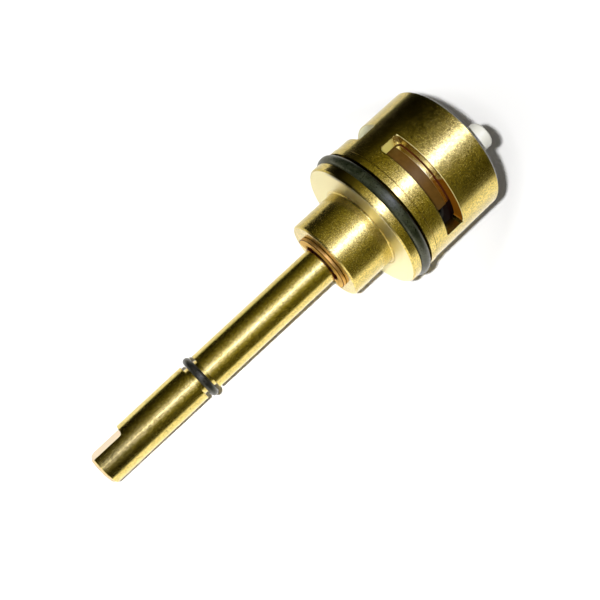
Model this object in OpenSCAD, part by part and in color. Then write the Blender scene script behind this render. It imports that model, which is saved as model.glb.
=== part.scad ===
// Diverter cartridge for a mixing valve.
// The axis runs along Y: the stem points to -Y and the base to +Y.
// The origin is the centre of the flange's front face, where the neck stands.
// Turns are counted from +Z towards +X, in degrees. Lengths are in mm.

/* [Stem] */
// Diameter of the stem
stem_d = 8; // [7.6:0.1:8.6]
// Reach of the stem in front of the flange face
stem_reach = 68.2; // [60:0.1:80]
// Bevel at the tip of the stem
tip_bevel = 0.6; // [0.3:0.1:1]
// Length of the handle flat
flat_len = 7.3; // [5:0.1:10]
// Depth of the handle flat
flat_cut = 1.23; // [0.8:0.01:1.6]
// Fillet where the handle flat ends
flat_fillet = 0.5; // [0.2:0.1:0.7]
// Turn of the handle flat
flat_turn = -77.8; // [-180:0.1:180]

/* [Handle seal] */
// Distance of the seal groove from the flange face
handle_groove_at = 41.9; // [35:0.1:48]
// Width of the seal groove
handle_groove_w = 3; // [2.4:0.1:3.4]
// Depth of the seal groove
handle_groove_cut = 0.95; // [0.8:0.01:1.2]
// Thickness of the seal's cord
handle_seal_t = 1.6; // [1.3:0.1:1.8]

/* [Snap ring] */
// Outer diameter of the snap ring
ring_d = 12.6; // [11.5:0.1:14]
// Thickness of the snap ring
ring_t = 0.7; // [0.6:0.05:1]
// Gap between the snap ring and the neck
ring_gap = 0.12; // [0.04:0.02:0.2]
// Arc that the snap ring covers
ring_arc = 213; // [190:1:230]
// Turn of the snap ring's middle
ring_turn = 1.5; // [-180:0.5:180]
// Depth of the snap ring's groove
ring_groove_cut = 1; // [0.6:0.05:1.2]
// Open width left in the groove in front of the snap ring
ring_groove_play = 0.45; // [0.1:0.05:0.6]
// Arc of the snap ring's middle prong
ring_prong_arc = 96; // [40:1:110]
// Arc of the snap ring's end prongs
ring_end_arc = 17; // [10:1:24]
// Reach of the snap ring's pockets over the stem's surface
ring_pocket = 0.65; // [0.3:0.05:1]

/* [Neck] */
// Diameter of the neck
neck_d = 18; // [16:0.1:20]
// Length of the neck
neck_len = 10.14; // [9.6:0.01:14]
// Bevel at the front edge of the neck
neck_bevel = 0.3; // [0.1:0.1:0.6]
// Length of the mouth that guides the stem
mouth_len = 2.94; // [2.2:0.01:3.4]
// Radius of the fillet at the foot of the neck
neck_fillet = 0.3; // [0.1:0.05:0.4]

/* [Flange] */
// Diameter of the flange
flange_d = 29.64; // [29.2:0.02:32]
// Thickness of the flange's front lip
lip_t = 2; // [1.6:0.1:2.6]
// Bevel at the front edge of the flange
flange_bevel = 0.35; // [0.1:0.05:0.6]
// Width of the flange's seal groove
flange_groove_w = 2.9; // [2.6:0.1:3.4]
// Depth of the flange's seal groove
flange_groove_cut = 1.77; // [1.5:0.01:1.9]
// Thickness of the flange seal's cord
flange_seal_t = 2.4; // [2:0.1:2.5]
// Width of the rib behind the seal groove
rib_w = 1.4; // [1:0.1:1.8]
// Width and depth of the fine line behind the rib
fine_line = 0.2; // [0.1:0.05:0.3]

/* [Body] */
// Diameter of the body
body_d = 29.32; // [29:0.02:31]
// Wall of the body
body_wall = 2.46; // [2:0.01:2.8]
// Bevel at the end of the body
end_bevel = 0.4; // [0.1:0.1:0.7]
// Floor between the seal groove and the cavity
floor_t = 0.6; // [0.4:0.1:1]

/* [Windows] */
// Number of windows around the body
window_count = 3; // [2:1:3]
// How far a window starts ahead of the driver's port
window_lead = 0.1; // [0:0.1:0.8]
// Width of a window along the body
window_w = 4.5; // [3.4:0.1:5]
// Arc of a window
window_arc = 95.6; // [70:0.2:100]
// Turn of the first window's middle
window_turn = 13.2; // [-180:0.1:180]
// Radius of the rounded corners of a window
window_corner = 1; // [0.6:0.1:1.6]

/* [Spindle core] */
// Diameter of the stem's sealed core
core_d = 11; // [10.6:0.1:11.6]
// Thickness of the thrust washer
washer_t = 0.5; // [0.3:0.1:0.8]
// Distance from the core's shoulder to its first seal groove
core_groove_at = 1.6; // [1.2:0.1:2]
// Distance between the two seal grooves
core_groove_pitch = 4.8; // [3.6:0.1:5]
// Width of a core seal groove
core_groove_w = 1.9; // [1.7:0.1:2.2]
// Thickness of a core seal's cord
core_seal_t = 1.4; // [1.3:0.05:1.45]
// Diameter of the tongue that drives the driver
tongue_d = 9.6; // [8.8:0.1:10.2]
// Width of the tongue across its flats
tongue_flats = 6.4; // [5.4:0.1:7.4]
// Length of the tongue
tongue_len = 2.9; // [2.2:0.1:3]

/* [Driver] */
// Gap between the driver and the body wall
driver_gap = 0.3; // [0.15:0.05:0.5]
// Gap between the driver and the cavity floor
driver_lift = 0.4; // [0.2:0.1:0.6]
// Distance of the driver's port from its front face
driver_port_at = 3.7; // [3.5:0.1:4]
// Width of the driver's port along the body
driver_port_w = 3.7; // [3:0.1:4.2]
// Arc of the driver's port
driver_port_arc = 140; // [110:1:150]
// Turn of the driver's port at rest
driver_port_turn = 111; // [90:1:130]
// Diameter of the post that backs the disc
driver_post_d = 7; // [6:0.1:8]
// Arc of the low step on each side of the port
step_arc = 30.7; // [20:0.1:40]
// Depth of the low step
step_cut = 0.25; // [0.1:0.05:0.4]
// Length of the low step
step_len = 3.8; // [3:0.1:4.5]
// Width of a disc key
key_w = 2.6; // [2:0.1:3.2]

/* [Stop] */
// Travel between the stops
travel = 180; // [120:1:200]
// Arc of the stop rib in the body
stop_arc = 90; // [40:1:110]
// Height of the stop rib
stop_h = 1.6; // [1:0.1:1.7]
// Width of the stop rib
stop_w = 3.1; // [2:0.1:3.4]
// Distance of the stop rib from the driver's side
stop_rim = 1.6; // [1.4:0.1:2]
// Turn of the stop rib's middle
stop_turn = 193.2; // [-180:0.1:360]

/* [Ceramic discs] */
// Wall of the driver around the moving disc
driver_wall = 1.05; // [0.8:0.05:1.4]
// Thickness of the moving disc
moving_disc_t = 3.4; // [3:0.1:4]
// Thickness of the fixed disc
fixed_disc_t = 3.45; // [3:0.05:3.7]
// Diameter of an outlet
port_d = 6; // [5:0.1:6.2]
// Half arc of the moving disc's kidney port
kidney_half_arc = 35; // [20:1:40]
// Width of the moving disc's kidney port
kidney_w = 5.4; // [4.4:0.1:5.6]

/* [Base] */
// Thickness of the base
base_t = 3.74; // [3.3:0.02:6]
// Rim of the base outside the seal seats
seat_rim = 0.8; // [0.6:0.1:1]
// How much wider than an outlet the disc seal's hole is
disc_seal_play = 0.3; // [0.1:0.1:0.5]
// Outer diameter of the port seals
port_seal_d = 9.7; // [9.2:0.1:10]
// Thickness of a disc seal
disc_seal_t = 1.35; // [1:0.05:1.4]
// Length of a port seal
port_seal_len = 2.17; // [1.9:0.01:2.6]
// How far the port seals stand out of the base
port_seal_out = 0.6; // [0.3:0.1:1]
// Wall of a port liner
liner_wall = 0.45; // [0.3:0.05:0.6]
// Height of the snap bead on the base
bead_h = 0.35; // [0.2:0.05:0.5]
// Width of the snap bead
bead_w = 1; // [0.8:0.1:1.2]
// Distance of the snap bead from the base's front face
bead_at = 0.95; // [0.8:0.05:1.2]

/* [Pegs] */
// Diameter of a peg
peg_d = 5.75; // [4.8:0.05:6]
// Height of a peg over the end of the body
peg_h = 4.7; // [3:0.1:6]
// Distance of a peg from the rim of the base
peg_rim = 1.425; // [1:0.025:2]
// Turn of the first peg
peg_turn = 21; // [-180:0.5:180]
// Rounding at the tip of a peg
peg_round = 0.5; // [0.2:0.1:0.8]

/* [Fits] */
// Radial clearance of a turning fit
run_fit = 0.05; // [0.03:0.01:0.08]
// Clearance between pieces that sit together
seat_fit = 0.03; // [0.02:0.01:0.05]
// Clearance of a sliding key or flat
key_fit = 0.05; // [0.03:0.01:0.1]
// Clearance turned past each stop, in degrees
stop_play = 0.5; // [0.3:0.1:1]

/* [Hidden] */
$fn = 96;
full_turn = 360;
through = 1;
sink = 0.5;
corner_lap = 1.03;
brass = [0.74, 0.64, 0.32];
copper = [0.74, 0.50, 0.20];
dark_rubber = [0.20, 0.20, 0.18];
brown_plastic = [0.44, 0.33, 0.27];
white_plastic = [0.95, 0.95, 0.93];
white_ceramic = [0.90, 0.89, 0.86];

stem_r = stem_d / 2;
neck_r = neck_d / 2;
flange_r = flange_d / 2;
body_r = body_d / 2;
cavity_r = body_r - body_wall;
core_r = core_d / 2;
mouth_r = stem_r + run_fit;
core_bore_r = core_r + run_fit;
mouth_bevel = 0.25;
lead_bevel = 0.3;
soft_bevel = 0.3;
fine_bevel = 0.2;
end_play = 0.2;

ring_back = -neck_len - ring_gap;
ring_front = ring_back - ring_t;
ring_groove_r = stem_r - ring_groove_cut;
ring_groove_front = ring_front - ring_groove_play;
ring_groove_back = ring_back + seat_fit + seat_fit;

mouth_end = -neck_len + mouth_len;
washer_front = mouth_end + seat_fit;
core_front = washer_front + washer_t + seat_fit;
handle_groove_r = stem_r - handle_groove_cut;
core_groove_r = core_bore_r - core_seal_t - run_fit;
seal_push = 0.1;
seal_fit = 0.01;
core_groove_1 = core_front + core_groove_at;
core_groove_2 = core_groove_1 + core_groove_pitch;

groove_front = lip_t;
groove_back = groove_front + flange_groove_w;
flange_groove_r = flange_r - flange_groove_cut;
rib_end = groove_back + rib_w;
floor_at = groove_back + floor_t;
core_back = floor_at - end_play;
tongue_end = core_back + tongue_len;

driver_r = cavity_r - driver_gap;
driver_front = floor_at + driver_lift;
port_front = driver_front + driver_port_at;
port_back = port_front + driver_port_w;
port_web = 0.3;
disc_floor = port_back + port_web;
moving_front = disc_floor + seat_fit;
moving_back = moving_front + moving_disc_t;
driver_back = moving_back - end_play;
pocket_r = driver_r - driver_wall;
moving_r = pocket_r - key_fit;
post_r = driver_post_d / 2;
disc_land = 0.8;
opening_r = moving_r - disc_land;
key_h = 0.9;
key_in = moving_r - key_h;
stop_slot_play = 0.6;
stop_slot_h = stop_h - driver_lift + stop_slot_play;
stop_out_r = driver_r - stop_rim;
stop_in_r = stop_out_r - stop_w;
window_at = port_front - window_lead;

fixed_front = moving_back + seat_fit;
fixed_back = fixed_front + fixed_disc_t;
fixed_r = cavity_r - driver_gap;
base_front = fixed_back + run_fit;
base_back = base_front + base_t;
base_play = 0.1;
base_r = cavity_r - base_play;
body_len = base_back;
prong_len = 1.9;
prong_w = 2.9;
prong_h = 1.15;
prong_in = fixed_r - prong_h;
bead_front = base_front + bead_at;
bead_back = bead_front + bead_w;
port_r = port_d / 2;
seal_r = port_seal_d / 2;
seat_r = seal_r + run_fit;
port_reach = base_r - seat_r - seat_rim;
peg_reach = base_r - peg_d / 2 - peg_rim;
seal_back = base_back + port_seal_out;
seal_front = seal_back - port_seal_len;
seat_back_floor = seal_front - seat_fit;
disc_seat_floor = base_front + disc_seal_t + seat_fit;
liner_in = port_r - run_fit;
liner_out = liner_in + liner_wall;
outlet_turns = [driver_port_turn, driver_port_turn + full_turn / 2];
peg_turns = [peg_turn, peg_turn + full_turn / 2];
key_turns = [driver_port_turn - 90, driver_port_turn + 90];

// Stands a part drawn along Z on the Y axis, with turn 0 at +Z.
module lay() {
  rotate([-90, 0, 0])
    rotate([0, 0, -90])
      children();
}

// Ring sector between two radii, two heights and two turns.
module sector(r_in, r_out, z_from, z_to, turn_from, arc) {
  rotate([0, 0, turn_from])
    rotate_extrude(angle = arc)
      translate([r_in, z_from])
        square([r_out - r_in, z_to - z_from]);
}

// Plain ring.
module ring(r_in, r_out, z_from, z_to) {
  rotate_extrude()
    translate([r_in, z_from])
      square([r_out - r_in, z_to - z_from]);
}

// Ring with small bevels on its outer edges.
module soft_ring(r_in, r_out, z_from, z_to, bevel) {
  rotate_extrude()
    polygon([
      [r_in, z_from],
      [r_out - bevel, z_from],
      [r_out, z_from + bevel],
      [r_out, z_to - bevel],
      [r_out - bevel, z_to],
      [r_in, z_to]
    ]);
}

// Round seal lying on a groove floor.
module o_ring(floor_r, cord, z_mid) {
  rotate_extrude()
    translate([floor_r + cord / 2, z_mid])
      circle(d = cord, $fn = 48);
}

// Material left in a rounded corner of a window, at its end -1 or 1 and edge -1 or 1.
module corner_fill(end, edge) {
  steps = 8;
  round_r = corner_lap * window_corner;
  rotate([90, 0, 90])
    translate([0, window_at + (1 + edge) * window_w / 2, cavity_r - through - sink])
      linear_extrude(body_wall + 2 * (through + sink))
        polygon([
          for (p = concat(
            [[-sink, window_corner], [-sink, -sink], [window_corner, -sink]],
            [for (i = [0 : steps])
              [window_corner - round_r * sin(i * 90 / steps),
                window_corner - round_r * cos(i * 90 / steps)]]
          ))
            [-end * p[0], -edge * p[1]]
        ]);
}

// One window cut through the body wall.
module window(turn) {
  difference() {
    sector(cavity_r - through, body_r + through, window_at, window_at + window_w,
      turn - window_arc / 2, window_arc);
    for (end = [-1, 1], edge = [-1, 1])
      rotate([0, 0, turn + end * window_arc / 2])
        corner_fill(end, edge);
  }
}

// Points of the fillet between the neck and the flange.
function neck_foot(steps) = [
  for (i = [0 : steps])
    [neck_r + neck_fillet - neck_fillet * cos(i * 90 / steps),
      -neck_fillet + neck_fillet * sin(i * 90 / steps)]
];

// Turned brass body: neck, flange and shell.
module valve_body() {
  color(brass)
    lay() {
      difference() {
        rotate_extrude()
          polygon(concat(
            [
              [mouth_r + mouth_bevel, -neck_len],
              [neck_r - neck_bevel, -neck_len],
              [neck_r, -neck_len + neck_bevel]
            ],
            neck_foot(5),
            [
              [flange_r - flange_bevel, 0],
              [flange_r, flange_bevel],
              [flange_r, groove_front],
              [flange_groove_r, groove_front],
              [flange_groove_r, groove_back],
              [flange_r, groove_back],
              [flange_r, rib_end],
              [body_r - fine_line, rib_end],
              [body_r - fine_line, rib_end + fine_line],
              [body_r, rib_end + fine_line],
              [body_r, body_len - end_bevel],
              [body_r - end_bevel, body_len],
              [cavity_r + lead_bevel, body_len],
              [cavity_r, body_len - lead_bevel],
              [cavity_r, bead_back + run_fit],
              [base_r + bead_h + run_fit, bead_back + run_fit],
              [base_r + bead_h + run_fit, bead_front - run_fit],
              [cavity_r, bead_front - run_fit],
              [cavity_r, floor_at],
              [core_bore_r, floor_at],
              [core_bore_r, mouth_end],
              [mouth_r, mouth_end],
              [mouth_r, -neck_len + mouth_bevel]
            ]
          ));
        for (i = [0 : window_count - 1])
          window(window_turn + i * full_turn / window_count);
      }
      sector(stop_in_r, stop_out_r, floor_at - sink,
        floor_at + stop_h, stop_turn - stop_arc / 2, stop_arc);
    }
}

// Seal in the flange groove.
module flange_o_ring() {
  color(dark_rubber)
    lay()
      o_ring(flange_groove_r + seat_fit, flange_seal_t,
        groove_front + flange_seal_t / 2 + seal_push);
}

// Washer between the mouth's shoulder and the stem's core.
module thrust_washer() {
  color(white_plastic)
    lay()
      ring(mouth_r + run_fit, core_bore_r - run_fit - run_fit,
        washer_front, washer_front + washer_t);
}

// Ceramic disc that stays with the base.
module fixed_disc() {
  color(white_ceramic)
    lay()
      difference() {
        soft_ring(0, fixed_r, fixed_front, fixed_back, soft_bevel);
        for (turn = outlet_turns)
          rotate([0, 0, turn])
            translate([port_reach, 0, fixed_front - through])
              cylinder(r = port_r, h = fixed_disc_t + through + through);
        for (turn = key_turns)
          rotate([0, 0, turn])
            translate([prong_in - key_fit, -prong_w / 2 - key_fit,
              base_front - prong_len - key_fit])
              cube([body_wall, prong_w + key_fit + key_fit, body_len]);
      }
}

// Seal between the fixed disc and one outlet of the base.
module disc_seal(turn) {
  color(dark_rubber)
    lay()
      rotate([0, 0, turn])
        translate([port_reach, 0, 0])
          soft_ring(port_r + disc_seal_play, seal_r,
            fixed_back + seat_fit, base_front + disc_seal_t - seat_fit, fine_bevel);
}

module disc_seal_1() {
  disc_seal(outlet_turns[0]);
}

module disc_seal_2() {
  disc_seal(outlet_turns[1]);
}

// Peg with a rounded tip.
module peg() {
  rotate_extrude()
    union() {
      square([peg_d / 2, sink + peg_h - peg_round]);
      square([peg_d / 2 - peg_round, sink + peg_h]);
      translate([peg_d / 2 - peg_round, sink + peg_h - peg_round])
        intersection() {
          circle(peg_round, $fn = 32);
          square(peg_round);
        }
    }
}

// Plastic base: outlets, seal seats, prongs and pegs.
module base_insert() {
  color(white_plastic)
    lay() {
      difference() {
        rotate_extrude()
          polygon([
            [0, base_front],
            [base_r - lead_bevel, base_front],
            [base_r, base_front + lead_bevel],
            [base_r, bead_front],
            [base_r + bead_h, bead_front + bead_h],
            [base_r + bead_h, bead_back],
            [base_r, bead_back],
            [base_r, base_back],
            [0, base_back]
          ]);
        for (turn = outlet_turns)
          rotate([0, 0, turn])
            translate([port_reach, 0, 0]) {
              translate([0, 0, base_front - through])
                cylinder(r = port_r, h = body_len);
              translate([0, 0, base_front - through])
                cylinder(r = seat_r, h = disc_seat_floor - base_front + through);
              translate([0, 0, seat_back_floor])
                cylinder(r = seat_r, h = body_len);
            }
      }
      for (turn = key_turns)
        sector_prong(turn);
      for (turn = peg_turns)
        rotate([0, 0, turn])
          translate([peg_reach, 0, base_back - sink])
            peg();
    }
}

// Prong of the base that holds the fixed disc.
module sector_prong(turn) {
  intersection() {
    rotate([0, 0, turn])
      translate([prong_in, -prong_w / 2, base_front - prong_len])
        cube([body_wall, prong_w, prong_len + sink]);
    cylinder(r = fixed_r, h = body_len);
  }
}

// Seal that stands out of one outlet of the base.
module port_seal(turn) {
  color(dark_rubber)
    lay()
      rotate([0, 0, turn])
        translate([port_reach, 0, 0])
          soft_ring(liner_out + seat_fit, seal_r, seal_front, seal_back, soft_bevel);
}

module port_seal_1() {
  port_seal(outlet_turns[0]);
}

module port_seal_2() {
  port_seal(outlet_turns[1]);
}

// Stiff sleeve inside one port seal.
module port_liner(turn) {
  color(white_plastic)
    lay()
      rotate([0, 0, turn])
        translate([port_reach, 0, 0])
          ring(liner_in, liner_out, seal_front, base_back);
}

module port_liner_1() {
  port_liner(outlet_turns[0]);
}

module port_liner_2() {
  port_liner(outlet_turns[1]);
}

// Cutter of the handle flat, with a fillet where it ends.
module handle_flat() {
  flat_at = stem_r - flat_cut;
  flat_end = -stem_reach + flat_len;
  rotate([0, 0, flat_turn])
    rotate([90, 0, 0])
      linear_extrude(stem_d + through, center = true)
        union() {
          translate([flat_at, -stem_reach - through])
            square([stem_r, flat_len - flat_fillet + through]);
          translate([flat_at + flat_fillet, -stem_reach - through])
            square([stem_r, flat_len + through]);
          translate([flat_at + flat_fillet, flat_end - flat_fillet])
            circle(flat_fillet);
        }
}

// Brass stem with its grooves, flat and tongue.
module stem() {
  color(brass)
    lay()
      difference() {
        union() {
          rotate_extrude()
            polygon([
              [0, -stem_reach],
              [stem_r - tip_bevel, -stem_reach],
              [stem_r, -stem_reach + tip_bevel],
              [stem_r, -handle_groove_at - handle_groove_w],
              [handle_groove_r, -handle_groove_at - handle_groove_w],
              [handle_groove_r, -handle_groove_at],
              [stem_r, -handle_groove_at],
              [stem_r, ring_groove_front],
              [ring_groove_r, ring_groove_front],
              [ring_groove_r, ring_groove_back],
              [stem_r, ring_groove_back],
              [stem_r, core_front],
              [core_r, core_front],
              [core_r, core_groove_1],
              [core_groove_r, core_groove_1],
              [core_groove_r, core_groove_1 + core_groove_w],
              [core_r, core_groove_1 + core_groove_w],
              [core_r, core_groove_2],
              [core_groove_r, core_groove_2],
              [core_groove_r, core_groove_2 + core_groove_w],
              [core_r, core_groove_2 + core_groove_w],
              [core_r, core_back],
              [0, core_back]
            ]);
          tongue(0, core_back - sink, tongue_end);
        }
        handle_flat();
      }
}

// Round tongue with two flats, larger by the given play for its socket.
module tongue(play, z_from, z_to) {
  rotate([0, 0, driver_port_turn])
    intersection() {
      translate([0, 0, z_from])
        cylinder(r = tongue_d / 2 + play, h = z_to - z_from);
      translate([-tongue_d, -tongue_flats / 2 - play, z_from - through])
        cube([tongue_d + tongue_d, tongue_flats + play + play,
          z_to - z_from + through + through]);
    }
}

// Seal on the stem's front part.
module stem_o_ring() {
  color(dark_rubber)
    lay()
      o_ring(handle_groove_r + seat_fit, handle_seal_t,
        -handle_groove_at - handle_groove_w / 2 + seal_push);
}

// Open snap ring against the neck, with three prongs in its groove.
module snap_ring() {
  pocket_arc = (ring_arc - ring_prong_arc) / 2 - ring_end_arc;
  color(copper)
    lay()
      difference() {
        sector(ring_groove_r + seat_fit, ring_d / 2, ring_front, ring_back,
          ring_turn - ring_arc / 2, ring_arc);
        sector(ring_groove_r - sink, stem_r + ring_pocket, ring_front - through,
          ring_back + through, ring_turn + ring_prong_arc / 2, pocket_arc);
        sector(ring_groove_r - sink, stem_r + ring_pocket, ring_front - through,
          ring_back + through, ring_turn - ring_prong_arc / 2 - pocket_arc, pocket_arc);
      }
}

// Seals on the stem's core.
module neck_o_ring_front() {
  color(dark_rubber)
    lay()
      o_ring(core_groove_r + seal_fit, core_seal_t,
        core_groove_1 + core_groove_w / 2);
}

module neck_o_ring_rear() {
  color(dark_rubber)
    lay()
      o_ring(core_groove_r + seal_fit, core_seal_t,
        core_groove_2 + core_groove_w / 2);
}

// Plastic drum that turns the moving disc and opens the windows to it.
module driver() {
  port_start = driver_port_turn - driver_port_arc / 2;
  color(brown_plastic)
    lay()
      difference() {
        union() {
          difference() {
            soft_ring(0, driver_r, driver_front, driver_back, soft_bevel);
            translate([0, 0, disc_floor])
              cylinder(r = pocket_r, h = body_len);
          }
          for (turn = key_turns)
            rotate([0, 0, turn])
              translate([key_in, -key_w / 2, disc_floor - sink])
                cube([pocket_r - key_in + sink, key_w,
                  driver_back - disc_floor + sink - soft_bevel]);
        }
        tongue(key_fit, driver_front - through, tongue_end + end_play);
        sector(stop_in_r - driver_gap, stop_out_r + driver_gap,
          driver_front - through, driver_front + stop_slot_h,
          stop_turn - stop_arc / 2 - travel - stop_play,
          travel + stop_arc + stop_play + stop_play);
        sector(post_r, driver_r + through, port_front, port_back,
          port_start, driver_port_arc);
        sector(post_r, opening_r, port_back - sink, disc_floor + through,
          port_start, driver_port_arc);
        sector(driver_r - step_cut, driver_r + through, driver_back - step_len,
          driver_back + through, port_start - step_arc,
          driver_port_arc + step_arc + step_arc);
      }
}

// Ceramic disc that turns with the driver.
module moving_disc() {
  color(white_ceramic)
    lay()
      difference() {
        soft_ring(0, moving_r, moving_front, moving_back, fine_bevel);
        sector(port_reach - kidney_w / 2, port_reach + kidney_w / 2,
          moving_front - through, moving_back + through,
          driver_port_turn - kidney_half_arc, kidney_half_arc + kidney_half_arc);
        for (side = [-1, 1])
          rotate([0, 0, driver_port_turn + side * kidney_half_arc])
            translate([port_reach, 0, moving_front - through])
              cylinder(d = kidney_w, h = moving_disc_t + through + through);
        for (turn = key_turns)
          rotate([0, 0, turn])
            translate([key_in - key_fit, -key_w / 2 - key_fit, moving_front - through])
              cube([body_wall, key_w + key_fit + key_fit,
                moving_disc_t + through + through]);
      }
}

valve_body();
flange_o_ring();
thrust_washer();
fixed_disc();
disc_seal_1();
disc_seal_2();
base_insert();
port_seal_1();
port_seal_2();
port_liner_1();
port_liner_2();
stem();
stem_o_ring();
snap_ring();
neck_o_ring_front();
neck_o_ring_rear();
driver();
moving_disc();
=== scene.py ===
import math
import bpy
from mathutils import Matrix, Vector

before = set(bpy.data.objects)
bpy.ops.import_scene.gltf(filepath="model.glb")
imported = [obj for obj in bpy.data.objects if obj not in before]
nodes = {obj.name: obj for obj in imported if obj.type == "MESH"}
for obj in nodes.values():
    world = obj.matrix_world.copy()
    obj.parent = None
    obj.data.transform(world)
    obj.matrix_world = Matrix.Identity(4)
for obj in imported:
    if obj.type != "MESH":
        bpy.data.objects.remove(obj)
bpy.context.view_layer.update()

MM = 0.001
scene = bpy.context.scene


# Camera: a pinhole fitted to the outlines, close above the part. Its place is in millimetres.
CAMERA_AT = (0.0, -44.17, 155.25)
CAMERA_RIGHT = (0.68173, 0.72051, 0.12691)
CAMERA_UP = (-0.73146, 0.67475, 0.09842)
SENSOR_WIDTH = 36.0
FOCAL_LENGTH = 48.0
NEAREST = 0.01
FARTHEST = 10.0


def add_camera():
    right = Vector(CAMERA_RIGHT)
    up = Vector(CAMERA_UP)
    data = bpy.data.cameras.new("camera")
    data.sensor_width = SENSOR_WIDTH
    data.lens = FOCAL_LENGTH
    data.clip_start = NEAREST
    data.clip_end = FARTHEST
    camera = bpy.data.objects.new("camera", data)
    placed = Matrix((right, up, right.cross(up))).transposed().to_4x4()
    placed.translation = Vector(CAMERA_AT) * MM
    camera.matrix_world = placed
    scene.collection.objects.link(camera)
    scene.camera = camera


add_camera()
scene.view_settings.view_transform = "Standard"


# Sockets of the colour mix node, which share their names with those of its other types.
MIX_A = 6
MIX_B = 7
MIX_RESULT = 2
UNIT = (0.0, 1.0)
BEVEL_SAMPLES = 4


class Tree:
    """Adds and links the nodes of one shader tree."""

    def __init__(self, tree, output):
        self.tree = tree
        self.tree.nodes.clear()
        self.out = self.tree.nodes.new(output)

    def node(self, kind, **values):
        made = self.tree.nodes.new(kind)
        for key, value in values.items():
            setattr(made, key, value)
        return made

    def link(self, a, b):
        self.tree.links.new(a, b)

    def coords(self, scale=(1.0, 1.0, 1.0)):
        """The point in the part's own frame, stretched by scale."""
        source = self.node("ShaderNodeTexCoord")
        mapping = self.node("ShaderNodeMapping")
        mapping.inputs["Scale"].default_value = scale
        self.link(source.outputs["Object"], mapping.inputs["Vector"])
        return mapping.outputs["Vector"]

    def split(self, vector):
        parts = self.node("ShaderNodeSeparateXYZ")
        self.link(vector, parts.inputs[0])
        return parts.outputs

    def point(self):
        """X, y and z in the part's own frame, in millimetres."""
        return self.split(self.coords((1 / MM, 1 / MM, 1 / MM)))

    def radius(self, x, z):
        return self.math("SQRT", self.add(self.times(x, x), self.times(z, z)))

    def turn(self, x, z):
        """Degrees round the part's axis, from +Z towards +X."""
        return self.times(self.math("ARCTAN2", x, z), 180 / math.pi)

    def noise(self, vector, scale, detail, roughness):
        made = self.node("ShaderNodeTexNoise")
        made.inputs["Scale"].default_value = scale
        made.inputs["Detail"].default_value = detail
        made.inputs["Roughness"].default_value = roughness
        self.link(vector, made.inputs["Vector"])
        return made.outputs["Fac"]

    def ramp(self, value, stops):
        """Colour between stops, each a position and a colour."""
        made = self.node("ShaderNodeValToRGB")
        elements = made.color_ramp.elements
        while len(elements) > 1:
            elements.remove(elements[-1])
        elements[0].position = stops[0][0]
        elements[0].color = stops[0][1] + (1.0,)
        for position, colour in stops[1:]:
            elements.new(position).color = colour + (1.0,)
        self.link(value, made.inputs["Fac"])
        return made.outputs["Color"]

    def fade(self, value, low, high, span):
        """Goes from low to high while value goes through span."""
        made = self.node("ShaderNodeMapRange")
        made.inputs["From Min"].default_value = span[0]
        made.inputs["From Max"].default_value = span[1]
        made.inputs["To Min"].default_value = low
        made.inputs["To Max"].default_value = high
        self.link(value, made.inputs["Value"])
        return made.outputs["Result"]

    def rise(self, value, span):
        return self.fade(value, 0.0, 1.0, span)

    def fall(self, value, span):
        return self.fade(value, 1.0, 0.0, span)

    def math(self, operation, *values):
        made = self.node("ShaderNodeMath", operation=operation)
        for socket, value in zip(made.inputs, values):
            if isinstance(value, float):
                socket.default_value = value
            else:
                self.link(value, socket)
        return made.outputs[0]

    def chain(self, operation, values):
        total = values[0]
        for value in values[1:]:
            total = self.math(operation, total, value)
        return total

    def times(self, *values):
        return self.chain("MULTIPLY", values)

    def add(self, *values):
        return self.chain("ADD", values)

    def most(self, *values):
        return self.chain("MAXIMUM", values)

    def gap(self, value, middle):
        """Distance of value from middle."""
        return self.math("ABSOLUTE", self.math("SUBTRACT", value, middle))

    def mix(self, factor, a, b):
        made = self.node("ShaderNodeMix", data_type="RGBA")
        self.link(factor, made.inputs["Factor"])
        for socket, value in ((made.inputs[MIX_A], a), (made.inputs[MIX_B], b)):
            if isinstance(value, tuple):
                socket.default_value = value + (1.0,)
            else:
                self.link(value, socket)
        return made.outputs[MIX_RESULT]

    def paint(self, colour, dull, coats):
        """Lays coats over colour in order. Each has its mask, its colour and what it adds to dull."""
        for mask, tint, duller in coats:
            colour = self.mix(mask, colour, tint)
            if duller:
                dull = self.add(dull, self.times(mask, duller))
        return colour, dull

    def bump(self, height, strength, distance, normal=None):
        made = self.node("ShaderNodeBump")
        made.inputs["Strength"].default_value = strength
        made.inputs["Distance"].default_value = distance
        self.link(height, made.inputs["Height"])
        if normal is not None:
            self.link(normal, made.inputs["Normal"])
        return made.outputs["Normal"]

    def soft_edge(self, radius):
        """Normal that rounds the edges off, with a radius in millimetres."""
        made = self.node("ShaderNodeBevel", samples=BEVEL_SAMPLES)
        made.inputs["Radius"].default_value = radius * MM
        return made.outputs["Normal"]

    def shader(self, kind="ShaderNodeBsdfPrincipled"):
        """The shader that the surface shows."""
        made = self.node(kind)
        self.link(made.outputs[0], self.out.inputs["Surface"])
        return made


def new_material(name):
    made = bpy.data.materials.new(name)
    made.use_nodes = True
    return made, Tree(made.node_tree, "ShaderNodeOutputMaterial")


# Noise patterns: cells in a metre before any stretch, detail and roughness.
STAINS = (380.0, 4.0, 0.6)
GRAIN = (2700.0, 3.0, 0.75)
SPECKS = (1100.0, 2.0, 0.5)
DULL_SPOTS = (3100.0, 3.0, 0.7)
WAVES = (420.0, 3.0, 0.5)
TURNING_MARKS = (1.0, 2.0, 0.5)
PATCHES = (620.0, 5.0, 0.7)
DRUM_CLOUD = (900.0, 4.0, 0.6)
MOULD_CLOUD = (240.0, 3.0, 0.5)
MOULD_GRAIN = (3200.0, 2.0, 0.5)
RUBBER_CLOUD = (700.0, 5.0, 0.65)
RUBBER_GRAIN = (2400.0, 3.0, 0.6)

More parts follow.
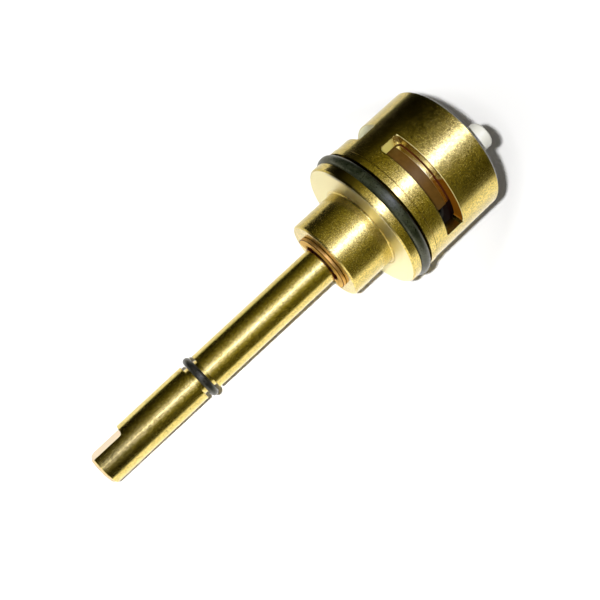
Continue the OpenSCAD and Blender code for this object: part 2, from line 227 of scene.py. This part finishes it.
# How much closer three of them are packed in x, y and z, where y runs along the part.
STAIN_SHAPE = (1.0, 0.6, 1.0)
WAVE_SHAPE = (1.0, 0.7, 1.0)
MARK_SHAPE = (40.0, 4200.0, 40.0)

# Values of the noise between which a pattern grows.
STAIN_SPAN = (0.30, 0.58)
GRAIN_SPAN = (0.44, 0.64)
SPECK_SPAN = (0.70, 0.74)
DULL_SPAN = (0.35, 0.65)
PATCH_SPAN = (0.42, 0.56)
CLOUD_SPAN = (0.3, 0.7)
RUBBER_SPAN = (0.38, 0.62)

# Radius of the soft edges and depth of the fine marks and grain, in millimetres.
METAL_EDGE = 0.09
DRUM_EDGE = 0.06
MOULD_EDGE = 0.1
FINE_DEPTH = 0.01
MARK_STRENGTH = 0.2
# Grain and specks on metal are this share of its darker colour.
SHADE = 0.42
SPECK_STRENGTH = 0.8
USUAL_GLOSS = 0.5
# Tint of the gloss on plastic and rubber.
WARM = (1.0, 0.96, 0.62, 1.0)


def turned_metal(name, light, dark, rough, brushing, wave, speckle, paint):
    """Turned metal: fine marks run round the axis, with faint stains, specks and dull spots.
    Wave is in millimetres. Paint takes the tree, the colour and the roughness, and gives what
    is linked to the shader."""
    made, t = new_material(name)
    s = t.shader()
    s.inputs["Metallic"].default_value = 1.0
    s.inputs["Anisotropic"].default_value = brushing
    tangent = t.node("ShaderNodeTangent", direction_type="RADIAL", axis="Y")
    t.link(tangent.outputs["Tangent"], s.inputs["Tangent"])
    shade = tuple(part * SHADE for part in dark)
    stains = t.noise(t.coords(STAIN_SHAPE), *STAINS)
    colour = t.ramp(stains, [(STAIN_SPAN[0], dark), (STAIN_SPAN[1], light)])
    grain = t.noise(t.coords(), *GRAIN)
    colour = t.mix(t.fade(grain, 0.0, speckle, GRAIN_SPAN), colour, shade)
    specks = t.noise(t.coords(), *SPECKS)
    colour = t.mix(t.fade(specks, 0.0, SPECK_STRENGTH, SPECK_SPAN), colour, shade)
    spots = t.noise(t.coords(), *DULL_SPOTS)
    dull = t.fade(spots, rough[0], rough[1], DULL_SPAN)
    for socket, value in paint(t, colour, dull).items():
        t.link(value, s.inputs[socket])
    waves = t.noise(t.coords(WAVE_SHAPE), *WAVES)
    marks = t.noise(t.coords(MARK_SHAPE), *TURNING_MARKS)
    rolling = t.bump(waves, 1.0, wave * MM, t.soft_edge(METAL_EDGE))
    t.link(t.bump(marks, MARK_STRENGTH, FINE_DEPTH * MM, rolling), s.inputs["Normal"])
    return made


# Places on the body. A pair is where a mask fades: a radius or a place along the axis in
# millimetres, or a turn in degrees. The turns of a window's ends are measured from its middle.
WINDOW_TURN = 13.2
HALF_PITCH = 60.0
SKIN = (14.5, 14.6)

# Walls of the windows. The near end walls and the third window's rear wall are painted pale as if
# lit; the far end walls are in painted shade.
CAVITY_SIDE = (11.6, 11.8)
UNDER_SKIN = (14.45, 14.6)
WINDOW_FRONT = (9.2, 9.3)
WINDOW_REAR = (14.15, 14.25)
NEAR_END = (-46.3, -44.8)
NEAR_END_DEPTH = (12.3, 13.1)
NEAR_END_REST = 0.1
FAR_END = (47.0, 47.6)
REAR_WALL = (13.7, 13.8)
THIRD_WINDOW = (-56.0, -52.0)

# Part of the first window's rear wall, painted orange for the drum's reflection in it.
ORANGE_START = (11.0, 16.0)
ORANGE_END = (61.0, 62.0)
ORANGE_DEPTH = (13.79, 13.82)
ORANGE_MATT = 0.95

# Painted highlight: pale lines along a window's rear side and along its far end.
SIDE_LINE_AT = 13.93
SIDE_LINE_WIDTH = (0.08, 0.14)
SIDE_LINE_END = (46.8, 47.6)
END_LINE = (47.9, 48.2)
END_LINE_AT = 11.6
END_LINE_REACH = (1.7, 2.2)

# Front face of the flange, painted cream for the paper's reflection in it, and the neck in front of
# it.
FACE_DEPTH = (0.03, 0.06)
FACE_RADIUS = (9.4, 9.8)
NECK_RADIUS = (9.0, 9.4)
NECK_END = (-0.3, 0.0)
NECK_DULLER = 0.02

# Darker brown on the flange's lip, on a patch of the shell and on the rear rim.
LIP = (1.9, 2.0)
LIP_RADIUS = (13.5, 14.3)
LIP_TURN = -38.0
LIP_REACH = (9.0, 22.0)
LIP_STRENGTH = 0.85
PATCH_TURN = -33.0
PATCH_REACH = (6.0, 19.0)
PATCH_START = (13.5, 18.5)
PATCH_STRENGTH = 0.75
PATCH_THIN = 0.45
RIM = (23.86, 23.94)
RIM_RADIUS = (14.0, 14.1)

FACE_REFLECTION_CREAM = (0.82, 0.74, 0.42)
FAR_WALL_SHADE_OLIVE = (0.36, 0.33, 0.13)
NEAR_END_LIT_GOLD = (0.62, 0.54, 0.15)
THIRD_WALL_LIT_PALE = (1.0, 1.0, 0.72)
DRUM_REFLECTION_ORANGE = (0.165, 0.057, 0.003)
EDGE_HIGHLIGHT_GOLD = (0.90, 0.80, 0.36)
LIP_BROWN = (0.10, 0.075, 0.03)
PATCH_BROWN = (0.10, 0.08, 0.03)
RIM_BROWN = (0.03, 0.025, 0.006)


def body_paint(t, colour, dull):
    """Painted light: the windows' near end walls and the third window's rear wall are pale as if lit,
    the far end walls are in painted shade, painted highlight lines run along the windows' edges,
    the first window's rear wall takes the drum's painted reflection and the flange's front face the
    paper's. The lip, one patch and the rear rim are darker brown.
    """
    x, y, z = t.point()
    radius = t.radius(x, z)
    turn = t.turn(x, z)
    lap = t.math("WRAP", t.math("SUBTRACT", turn, WINDOW_TURN), -HALF_PITCH, HALF_PITCH)
    from_middle = t.math("ABSOLUTE", lap)
    skin = t.rise(radius, SKIN)
    wall = t.times(t.fall(radius, UNDER_SKIN), t.rise(radius, CAVITY_SIDE))
    inside = t.times(wall, t.rise(y, WINDOW_FRONT), t.fall(y, WINDOW_REAR))

    # Painted light on the near end walls, fading to a tenth towards the window's rear side.
    near_end = t.times(t.fall(lap, NEAR_END), t.fade(y, 1.0, NEAR_END_REST, NEAR_END_DEPTH))
    far_end = t.rise(lap, FAR_END)
    third = t.fall(turn, THIRD_WINDOW)
    third_wall = t.times(third, t.rise(y, REAR_WALL))
    painted_lit_walls = t.times(t.most(near_end, third_wall), inside)
    # Painted shade on the windows' far end walls.
    far_wall_shade = t.times(far_end, inside, t.fall(y, REAR_WALL))
    orange_turn = t.times(t.rise(turn, ORANGE_START), t.fall(turn, ORANGE_END))
    drum_reflection_wall = t.times(orange_turn, t.rise(y, ORANGE_DEPTH), inside)

    side_line = t.fall(t.gap(y, SIDE_LINE_AT), SIDE_LINE_WIDTH)
    side_line = t.times(side_line, t.fall(from_middle, SIDE_LINE_END))
    end_line = t.times(far_end, t.fall(from_middle, END_LINE))
    end_line = t.times(end_line, t.fall(t.gap(y, END_LINE_AT), END_LINE_REACH))
    edge_highlight = t.times(t.most(side_line, end_line), skin)

    face = t.times(t.fall(t.math("ABSOLUTE", y), FACE_DEPTH), t.rise(radius, FACE_RADIUS))
    lip_turn = t.fade(t.gap(turn, LIP_TURN), LIP_STRENGTH, 0.0, LIP_REACH)
    lip = t.times(t.fall(y, LIP), t.rise(radius, LIP_RADIUS), lip_turn)
    patch_turn = t.fade(t.gap(turn, PATCH_TURN), PATCH_STRENGTH, 0.0, PATCH_REACH)
    broken_up = t.fade(t.noise(t.coords(), *PATCHES), PATCH_THIN, 1.0, PATCH_SPAN)
    patch = t.times(patch_turn, t.rise(y, PATCH_START), skin, broken_up)
    rim = t.times(t.rise(y, RIM), t.rise(radius, RIM_RADIUS))
    neck = t.times(t.fall(radius, NECK_RADIUS), t.fall(y, NECK_END))

    matt = t.most(edge_highlight, t.times(near_end, inside), t.times(drum_reflection_wall, ORANGE_MATT))
    dull = t.add(dull, t.times(neck, NECK_DULLER))
    colour, dull = t.paint(colour, dull, [
        # Painted reflection of the paper on the flange's front face.
        (face, FACE_REFLECTION_CREAM, 0.22),
        # Painted shade on the far end walls.
        (far_wall_shade, FAR_WALL_SHADE_OLIVE, 0.0),
        # Painted light on the near end walls and on the third window's rear wall.
        (painted_lit_walls, t.mix(third, NEAR_END_LIT_GOLD, THIRD_WALL_LIT_PALE), 0.28),
        # Painted reflection of the drum on the first window's rear wall.
        (drum_reflection_wall, DRUM_REFLECTION_ORANGE, 0.12),
        # Painted highlight lines along the windows' edges.
        (edge_highlight, EDGE_HIGHLIGHT_GOLD, 0.35),
        (lip, LIP_BROWN, 0.0),
        (patch, PATCH_BROWN, 0.0),
        (rim, RIM_BROWN, 0.0),
    ])
    return {
        "Base Color": colour,
        "Roughness": dull,
        "Metallic": t.fall(matt, UNIT),
        "Specular IOR Level": t.fade(drum_reflection_wall, USUAL_GLOSS, 0.0, UNIT),
    }


# Places on the stem and on the snap ring, in millimetres.
FLAT_RADIUS = (3.84, 3.92)
FLAT_END = (-57.0, -56.0)
RING_FACE = (-10.93, -10.90)
RING_CORNER = (-10.86, -10.82)
RING_OUTER = (6.16, 6.2)
RING_INNER = (4.15, 4.25)

FLAT_PINK = (0.64, 0.49, 0.29)
RING_COPPER = (0.74, 0.46, 0.09)
RING_SHADE_RED = (0.13, 0.03, 0.01)


def stem_paint(t, colour, dull):
    """The flat and the turned end are a little redder."""
    x, y, z = t.point()
    cut = t.times(t.fall(t.radius(x, z), FLAT_RADIUS), t.fall(y, FLAT_END))
    colour, dull = t.paint(colour, dull, [(cut, FLAT_PINK, 0.1)])
    return {"Base Color": colour, "Roughness": dull}


def ring_paint(t, colour, dull):
    """The front face is duller, with a painted dark red shade line at its outer edge and painted
    shade at the stem.
    """
    x, y, z = t.point()
    radius = t.radius(x, z)
    face = t.fall(y, RING_FACE)
    edge_shade_line = t.times(t.fall(y, RING_CORNER), t.rise(radius, RING_OUTER))
    shade = t.fall(radius, RING_INNER)
    colour, dull = t.paint(colour, dull, [
        (face, RING_COPPER, 0.12),
        # Painted shade in the gap at the ring's outer edge and where it meets the stem.
        (t.most(edge_shade_line, shade), RING_SHADE_RED, 0.0),
    ])
    return {"Base Color": colour, "Roughness": dull}


# Places on the drum, in millimetres and degrees.
BAND = (12.98, 13.08)
# A painted highlight line along the edge of the step.
STEP_EDGE_TURN = 10.3
STEP_HIGHLIGHT_WIDTH = (0.5, 0.9)
# The drum's left side is darker: painted shade.
LEFT_SIDE = (-36.0, -24.0)
LEFT_LIMIT = (-100.0, -60.0)
LEFT_STRENGTH = 0.5
PORT_START = (40.6, 41.4)
PORT_END = (180.6, 181.4)
DRUM_INNER = (11.35, 11.5)
DRUM_REAR = (13.79, 13.82)

DRUM_DARK = (0.062, 0.029, 0.004)
DRUM_LIGHT = (0.088, 0.043, 0.008)
BAND_BROWN = (0.115, 0.044, 0.005)
STEP_HIGHLIGHT_TAN = (0.85, 0.62, 0.30)
LEFT_SHADE_BROWN = (0.03, 0.015, 0.001)
REAR_SHADE_RED = (0.05, 0.012, 0.004)
PORT_SHADE_DARK = (0.008, 0.003, 0.002)

DRUM_IOR = 3.6
DRUM_GLOSS = 0.04
BAND_GLOSS = 0.85
HIDDEN_LESS_GLOSS = 0.038
DRUM_ROUGH = (0.38, 0.48)
BAND_LESS_ROUGH = 0.22
DRUM_GRAIN = 0.1


def drum_plastic(name):
    """Brown drum: dull in front, polished behind, with a painted highlight along its step's edge and
    painted shade in its port, on its inner side, along its rear edge and on its left side.
    """
    made, t = new_material(name)
    s = t.shader()
    s.inputs["IOR"].default_value = DRUM_IOR
    s.inputs["Specular Tint"].default_value = WARM
    x, y, z = t.point()
    radius = t.radius(x, z)
    turn = t.turn(x, z)
    cloud = t.noise(t.coords(), *DRUM_CLOUD)
    colour = t.ramp(cloud, [(CLOUD_SPAN[0], DRUM_DARK), (CLOUD_SPAN[1], DRUM_LIGHT)])
    fine = t.noise(t.coords(), *MOULD_GRAIN)
    rough = t.fade(fine, DRUM_ROUGH[0], DRUM_ROUGH[1], CLOUD_SPAN)
    band = t.rise(y, BAND)
    step_highlight = t.times(t.fall(t.gap(turn, STEP_EDGE_TURN), STEP_HIGHLIGHT_WIDTH), band)
    left_shade = t.times(t.fade(turn, LEFT_STRENGTH, 0.0, LEFT_SIDE), t.rise(turn, LEFT_LIMIT))
    port = t.times(t.rise(turn, PORT_START), t.fall(turn, PORT_END))
    rear = t.rise(y, DRUM_REAR)
    deep_shade = t.most(t.fall(radius, DRUM_INNER), t.times(port, band))
    hidden = t.most(deep_shade, rear)
    polish = t.rise(t.math("SUBTRACT", band, hidden), UNIT)
    gloss = t.add(t.times(polish, BAND_GLOSS), DRUM_GLOSS, t.times(hidden, -HIDDEN_LESS_GLOSS))
    colour, rough = t.paint(colour, rough, [
        (band, BAND_BROWN, 0.0),
        # Painted highlight along the step's edge.
        (step_highlight, STEP_HIGHLIGHT_TAN, 0.0),
        # Painted shade on the left side.
        (left_shade, LEFT_SHADE_BROWN, 0.0),
        # Painted shade along the rear edge, in the gap under the window's wall.
        (rear, REAR_SHADE_RED, 0.0),
        # Painted shade in the port and on the inner side.
        (deep_shade, PORT_SHADE_DARK, 0.0),
    ])
    t.link(colour, s.inputs["Base Color"])
    t.link(gloss, s.inputs["Specular IOR Level"])
    t.link(t.add(rough, t.times(polish, -BAND_LESS_ROUGH)), s.inputs["Roughness"])
    t.link(t.bump(fine, DRUM_GRAIN, FINE_DEPTH * MM, t.soft_edge(DRUM_EDGE)), s.inputs["Normal"])
    return made


COAT_ROUGH = 0.12
MOULD_ROUGH_SPREAD = 0.05


def moulded(name, light, dark, rough, coat, grain, gloss=USUAL_GLOSS):
    """Moulded plastic or fired ceramic: faint mottling and a fine surface grain."""
    made, t = new_material(name)
    s = t.shader()
    s.inputs["Coat Weight"].default_value = coat
    s.inputs["Coat Roughness"].default_value = COAT_ROUGH
    s.inputs["Specular IOR Level"].default_value = gloss
    s.inputs["Specular Tint"].default_value = WARM
    cloud = t.noise(t.coords(), *MOULD_CLOUD)
    t.link(t.ramp(cloud, [(CLOUD_SPAN[0], dark), (CLOUD_SPAN[1], light)]), s.inputs["Base Color"])
    fine = t.noise(t.coords(), *MOULD_GRAIN)
    varied = t.fade(fine, rough - MOULD_ROUGH_SPREAD, rough + MOULD_ROUGH_SPREAD, CLOUD_SPAN)
    t.link(varied, s.inputs["Roughness"])
    t.link(t.bump(fine, grain, FINE_DEPTH * MM, t.soft_edge(MOULD_EDGE)), s.inputs["Normal"])
    return made


RUBBER_ROUGH_SPREAD = 0.08
RUBBER_GRAIN_STRENGTH = 0.4
RUBBER_GRAIN_DEPTH = 0.02


def rubber(name, light, dark, rough):
    """Black rubber with a dusty sheen."""
    made, t = new_material(name)
    s = t.shader()
    s.inputs["Specular Tint"].default_value = WARM
    cloud = t.noise(t.coords(), *RUBBER_CLOUD)
    t.link(t.ramp(cloud, [(RUBBER_SPAN[0], dark), (RUBBER_SPAN[1], light)]), s.inputs["Base Color"])
    fine = t.noise(t.coords(), *RUBBER_GRAIN)
    varied = t.fade(fine, rough - RUBBER_ROUGH_SPREAD, rough + RUBBER_ROUGH_SPREAD, CLOUD_SPAN)
    t.link(varied, s.inputs["Roughness"])
    t.link(t.bump(fine, RUBBER_GRAIN_STRENGTH, RUBBER_GRAIN_DEPTH * MM), s.inputs["Normal"])
    return made


body_brass = turned_metal(
    "brass", light=(0.72, 0.565, 0.170), dark=(0.60, 0.455, 0.108), rough=(0.160, 0.258),
    brushing=0.35, wave=0.003, speckle=0.75, paint=body_paint)
stem_brass = turned_metal(
    "brass_stem", light=(0.72, 0.565, 0.175), dark=(0.64, 0.49, 0.125), rough=(0.17, 0.235),
    brushing=0.35, wave=0.002, speckle=0.7, paint=stem_paint)
copper = turned_metal(
    "copper_ring", light=(0.84, 0.53, 0.16), dark=(0.78, 0.45, 0.11), rough=(0.42, 0.50),
    brushing=0.2, wave=0.002, speckle=0.1, paint=ring_paint)
brown = drum_plastic("brown_plastic")
white = moulded(
    "white_plastic", light=(0.71, 0.705, 0.645), dark=(0.68, 0.675, 0.61),
    rough=0.42, coat=0.1, grain=0.2)
ceramic = moulded(
    "ceramic", light=(0.40, 0.38, 0.34), dark=(0.34, 0.32, 0.28),
    rough=0.3, coat=0.2, grain=0.05)
dark_ceramic = moulded(
    "dark_ceramic", light=(0.012, 0.012, 0.012), dark=(0.008, 0.008, 0.008),
    rough=0.3, coat=0.0, grain=0.05, gloss=0.08)
black = rubber("rubber", light=(0.022, 0.025, 0.014), dark=(0.005, 0.007, 0.003), rough=0.31)
wet_black = rubber("rubber_stem", light=(0.014, 0.014, 0.012), dark=(0.006, 0.006, 0.006), rough=0.3)

LOOK = {
    "valve_body": body_brass,
    "stem": stem_brass,
    "snap_ring": copper,
    "driver": brown,
    "moving_disc": dark_ceramic,
    "fixed_disc": ceramic,
    "base_insert": white,
    "port_liner_1": white,
    "port_liner_2": white,
    "thrust_washer": white,
    "flange_o_ring": black,
    "stem_o_ring": wet_black,
    "neck_o_ring_front": black,
    "neck_o_ring_rear": black,
    "disc_seal_1": black,
    "disc_seal_2": black,
    "port_seal_1": black,
    "port_seal_2": black,
}
for name, look in LOOK.items():
    mesh = nodes[name].data
    mesh.materials.clear()
    mesh.materials.append(look)


# Floor: a sheet of paper under the part, which touches it with its stem tip and flange seal.
# Places are in millimetres. The sheet ends beside the part, and a plain white floor goes on.
FAR = 1500.0
SHEET_EDGE = [(-58.0, FAR), (-58.0, -8.0), (-49.0, -25.0), (-30.0, -53.0), (-30.0, -FAR)]
FLOOR_NORMAL = Vector((-0.039, 0.161, 0.986)).normalized()
STEM_TIP = Vector((0.0, -68.2, -4.0))
SEAL_BOTTOM = Vector((0.0, 3.3, -15.47))
FLOOR_GAP = 0.02
FLOOR_AT = min(STEM_TIP.dot(FLOOR_NORMAL), SEAL_BOTTOM.dot(FLOOR_NORMAL)) - FLOOR_GAP


def on_floor(x, y):
    z = (FLOOR_AT - x * FLOOR_NORMAL.x - y * FLOOR_NORMAL.y) / FLOOR_NORMAL.z
    return Vector((x, y, z)) * MM


def floor_piece(name, side, look):
    """Floor on one side of the sheet's edge: 1 is the part's side, -1 the other."""
    mesh = bpy.data.meshes.new(name)
    corners = SHEET_EDGE + [(side * FAR, -FAR), (side * FAR, FAR)]
    mesh.from_pydata([on_floor(x, y) for x, y in corners], [], [tuple(range(len(corners)))[::side]])
    mesh.materials.append(look)
    piece = bpy.data.objects.new(name, mesh)
    scene.collection.objects.link(piece)
    return piece


# The sheet glows outside an oval round the part, for camera, mirror and glass rays. Each step
# has its level and where it grows, in half axes of the oval.
OVAL_CENTRE = (3.0, -12.0)
OVAL_HALF = (28.0, 56.0)
GLOW_STEPS = [(0.15, (1.04, 1.14)), (0.65, (1.1, 2.2)), (0.25, (2.0, 4.0))]
SHEET_WHITE = (0.99, 0.99, 0.99)
# Seen only in mirrors: the sheet's colour is painted dimmer on the left, and a painted glow brightens
# it on the right.
SHEET_DIM = (0.62, 0.60, 0.45)
DIM_SIDE = (-32.0 * MM, -22.0 * MM)
MIRROR_GLOW = 0.35
MIRROR_GLOW_SIDE = (5.0 * MM, 10.0 * MM)
HAZE = 0.045
# A little above white, so that no line shows along the sheet's edge.
BEYOND = 1.2


def paper_look():
    """White paper that mirrors dimmer on the left of the part and brighter on its right."""
    made, t = new_material("paper")
    sheet = t.node("ShaderNodeBsdfDiffuse")
    glow = t.node("ShaderNodeEmission")
    both = t.shader("ShaderNodeAddShader")
    t.link(sheet.outputs[0], both.inputs[0])
    t.link(glow.outputs[0], both.inputs[1])

    where = t.node("ShaderNodeTexCoord").outputs["Object"]
    oval = t.node("ShaderNodeMapping")
    centre = [-middle / half for middle, half in zip(OVAL_CENTRE, OVAL_HALF)]
    oval.inputs["Location"].default_value = (centre[0], centre[1], 0.0)
    oval.inputs["Scale"].default_value = (1 / (OVAL_HALF[0] * MM), 1 / (OVAL_HALF[1] * MM), 0.0)
    t.link(where, oval.inputs["Vector"])
    length = t.node("ShaderNodeVectorMath", operation="LENGTH")
    t.link(oval.outputs["Vector"], length.inputs[0])
    away = t.add(*[t.fade(length.outputs["Value"], 0.0, level, span) for level, span in GLOW_STEPS])

    path = t.node("ShaderNodeLightPath").outputs
    seen = t.most(path["Is Camera Ray"], path["Is Glossy Ray"], path["Is Transmission Ray"])
    across = t.split(where)["X"]
    dim = t.times(t.fall(across, DIM_SIDE), path["Is Glossy Ray"])
    mirror_glow = t.times(t.fade(across, 0.0, MIRROR_GLOW, MIRROR_GLOW_SIDE), path["Is Glossy Ray"])
    haze = t.times(path["Is Camera Ray"], HAZE)
    t.link(t.mix(dim, SHEET_WHITE, SHEET_DIM), sheet.inputs["Color"])
    t.link(t.add(t.most(t.times(away, seen), mirror_glow), haze), glow.inputs["Strength"])
    return made


def beyond_look():
    """Plain white that only the camera sees."""
    made, t = new_material("white_beyond")
    glow = t.shader("ShaderNodeEmission")
    path = t.node("ShaderNodeLightPath").outputs
    t.link(t.times(path["Is Camera Ray"], BEYOND), glow.inputs["Strength"])
    return made


floor_piece("floor_paper", 1, paper_look())
beyond = floor_piece("floor_beyond", -1, beyond_look())
beyond.visible_glossy = False
beyond.visible_diffuse = False


# Light: one small lamp beside the lens, and a dim room with a soft strip along the part.
LAMP_AT = (-9.25, -57.15, 163.39)
LAMP_AIM = (6.0, 25.0, 0.0)
LAMP_SIZE = 5.0
LAMP_POWER = 0.435


def add_lamp():
    data = bpy.data.lights.new("lamp", "AREA")
    data.shape = "DISK"
    data.size = LAMP_SIZE * MM
    data.energy = LAMP_POWER
    lamp = bpy.data.objects.new("lamp", data)
    lamp.location = Vector(LAMP_AT) * MM
    aim = Vector(LAMP_AIM) * MM - lamp.location
    lamp.rotation_euler = aim.to_track_quat("-Z", "Y").to_euler()
    lamp.visible_camera = False
    lamp.visible_glossy = False
    scene.collection.objects.link(lamp)


# The room round the part's axis: angle from straight up, warmth, then the level to the front,
# across the middle and to the rear.
ROOM = [
    (-180, 1.0, 0.015, 0.015, 0.002),
    (-97, 1.0, 0.015, 0.015, 0.001),
    (-86, 1.0, 0.028, 0.025, 0.001),
    (-72, 1.0, 0.045, 0.13, 0.004),
    (-60, 1.0, 0.08, 0.23, 0.008),
    (-48, 1.0, 0.14, 0.30, 0.045),
    (-36, 0.8, 0.29, 0.44, 0.125),
    (-24, 0.4, 0.54, 0.66, 0.24),
    (-12, -0.3, 1.3, 1.4, 0.65),
    (-5, -0.9, 2.2, 2.2, 1.3),
    (-4, -0.9, 9.5, 9.5, 8.5),
    (4, -0.9, 9.5, 9.5, 8.5),
    (5, -0.9, 2.2, 2.0, 1.0),
    (12, -0.2, 1.25, 1.0, 0.5),
    (24, 0.6, 0.48, 0.48, 0.27),
    (36, 1.0, 0.27, 0.34, 0.16),
    (48, 1.0, 0.125, 0.21, 0.09),
    (60, 1.0, 0.095, 0.17, 0.05),
    (76, 1.0, 0.11, 0.20, 0.05),
    (90, 0.8, 0.24, 0.26, 0.10),
    (100, 0.5, 0.24, 0.22, 0.105),
    (124, 0.4, 0.18, 0.18, 0.10),
    (145, 0.3, 0.20, 0.21, 0.13),
    (180, 0.0, 0.40, 0.40, 0.32),
]
FRONT, MIDDLE, REAR = 2, 3, 4
# The highest part of any colour in the room. The ramps hold the room divided by it, and the
# strength multiplies it back.
ROOM_TOP = 16.34
WARM_RED = 0.08
WARM_BLUE = 0.8

# How far a direction points along the axis: from front to middle, and from middle to rear.
TO_MIDDLE = (0.16, 0.29)
TO_REAR = (0.335, 0.405)
# Directions a little towards the stem's tip are dimmer, and those further round bright again.
FRONT_SPAN = (-0.09, 0.08)
FRONT_LEVEL = 0.72
TIP_SPAN = (-0.118, -0.072)
TIP_LEVEL = 0.14
PAST_TIP = (-0.26, -0.18)
# What lights matt surfaces: a warm dark room in front, and a pale one behind the base.
BEHIND_SPAN = (0.75, 0.95)
AMBIENT_FRONT = (0.014, 0.010, 0.002)
AMBIENT_BEHIND = (0.46, 0.45, 0.42)
BACKGROUND_WHITE = (1.0, 1.0, 1.0, 1.0)


def room_stops(column):
    """Ramp stops for one column of the room."""
    stops = []
    for row in ROOM:
        level = row[column] / ROOM_TOP
        warmth = row[1]
        colour = (level * (1 + WARM_RED * warmth), level, level * (1 - WARM_BLUE * warmth))
        stops.append(((row[0] + 180) / 360, colour))
    return stops


def add_room():
    world = bpy.data.worlds.new("room")
    world.use_nodes = True
    w = Tree(world.node_tree, "ShaderNodeOutputWorld")
    across, along, upward = w.split(w.node("ShaderNodeTexCoord").outputs["Generated"])
    turn = w.rise(w.math("ARCTAN2", across, upward), (-math.pi, math.pi))
    front, middle, rear = (w.ramp(turn, room_stops(column)) for column in (FRONT, MIDDLE, REAR))
    level = w.mix(w.rise(along, TO_MIDDLE), front, middle)
    level = w.mix(w.rise(along, TO_REAR), level, rear)
    tip = w.most(w.fade(along, TIP_LEVEL, 1.0, TIP_SPAN), w.fall(along, PAST_TIP))
    strength = w.times(w.fade(along, FRONT_LEVEL * ROOM_TOP, ROOM_TOP, FRONT_SPAN), tip)

    mirrored = w.node("ShaderNodeBackground")
    w.link(level, mirrored.inputs["Color"])
    w.link(strength, mirrored.inputs["Strength"])
    ambient = w.node("ShaderNodeBackground")
    behind = w.rise(along, BEHIND_SPAN)
    w.link(w.mix(behind, AMBIENT_FRONT, AMBIENT_BEHIND), ambient.inputs["Color"])
    plain = w.node("ShaderNodeBackground")
    plain.inputs["Color"].default_value = BACKGROUND_WHITE

    path = w.node("ShaderNodeLightPath").outputs
    lit = w.node("ShaderNodeMixShader")
    w.link(path["Is Glossy Ray"], lit.inputs[0])
    w.link(ambient.outputs[0], lit.inputs[1])
    w.link(mirrored.outputs[0], lit.inputs[2])
    shown = w.shader("ShaderNodeMixShader")
    w.link(path["Is Camera Ray"], shown.inputs[0])
    w.link(lit.outputs[0], shown.inputs[1])
    w.link(plain.outputs[0], shown.inputs[2])
    scene.world = world


add_lamp()
add_room()
